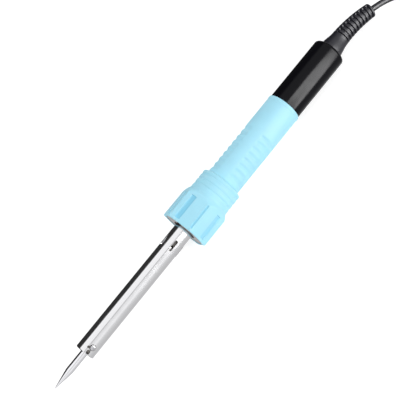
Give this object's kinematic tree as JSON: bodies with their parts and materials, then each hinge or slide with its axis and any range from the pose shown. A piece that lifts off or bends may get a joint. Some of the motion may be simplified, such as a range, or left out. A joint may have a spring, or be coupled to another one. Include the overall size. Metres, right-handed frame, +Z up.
{
  "type": "soldering iron",
  "caption": "Pencil-shaped mains soldering iron: conical bit, polished barrel, soft light blue grip with six-sided collar, black rear handle, ribbed strain relief and folded cord with plug.",
  "frame": {"origin": "on the surface that the iron lies on, below the middle of the iron's length and width, the cord and plug not counted", "axes": "+X towards the cord end along the iron as it lies, +Z up, the collar's flats facing up and down"},
  "size_m": [0.4188, 0.0386, 0.0261],
  "materials": {
    "bit_plating": "bright satin plating over copper, faint turning marks",
    "screw_steel": "bright nickel-plated steel",
    "barrel_steel": "polished stainless tube with fine lengthwise drawing marks",
    "bush_steel": "turned steel, dulled by heat",
    "heater_steel": "drawn steel tube",
    "mica": "rolled mica sheet",
    "resistance_wire": "dark resistance wire",
    "flange_steel": "zinc-plated pressed steel",
    "cover_black": "glossy black heat-resistant plastic",
    "core_black": "black moulded plastic",
    "grip_blue": "soft light blue silicone rubber, satin",
    "handle_black": "glossy black moulded plastic",
    "relief_black": "soft black PVC, satin",
    "lead_wire": "nickel wire",
    "ceramic": "unglazed white ceramic",
    "terminal_white": "white moulded nylon",
    "core_brown": "brown PVC insulation",
    "core_blue": "blue PVC insulation",
    "cord_black": "black PVC sheath, satin",
    "tie_black": "plastic-covered wire tie",
    "plug_black": "black PVC, fine moulded texture",
    "pin_metal": "nickel-plated brass",
    "sleeve_black": "black nylon"
  },
  "bodies": {
    "handle": {"barrel_tube": "barrel_steel", "front_bush": "bush_steel", "heater_core_tube": "heater_steel", "inner_mica_tube": "mica", "heater_winding": "resistance_wire", "outer_mica_tube": "mica", "barrel_flange": "flange_steel", "flange_screws": "screw_steel", "front_cover": "cover_black", "handle_core": "core_black", "grip_sleeve": "grip_blue", "rear_handle": "handle_black", "strain_relief": "relief_black", "heater_lead_live": "lead_wire", "heater_lead_neutral": "lead_wire", "ceramic_beads": "ceramic", "terminal_carrier": "core_black", "cord_clamp": "flange_steel", "clamp_screws": "screw_steel", "terminal_block": "terminal_white", "terminal_screws": "screw_steel", "cord_core_live": "core_brown", "cord_core_neutral": "core_blue", "cord_tail": "cord_black", "cord_tube": "cord_black", "cord_plug_end": "cord_black", "cord_hank": "cord_black", "cord_tie": "tie_black", "plug_relief": "plug_black", "plug_body": "plug_black", "plug_pins": "pin_metal", "plug_pin_sleeves": "sleeve_black"},
    "bit": {"soldering_bit": "bit_plating"},
    "set_screw": {"bit_set_screw": "screw_steel"}
  },
  "joints": [
    {"name": "bit_slide", "type": "slide", "parent": "handle", "child": "bit", "axis": [-0.9995, 0, 0.0302], "range_m": [0, 0.03]},
    {"name": "set_screw_turn", "type": "hinge", "parent": "handle", "child": "set_screw", "pos_m": [-0.10642, 0, 0.01568], "axis": [0.023, -0.6455, 0.7634], "range_deg": [0, 720]}
  ]
}
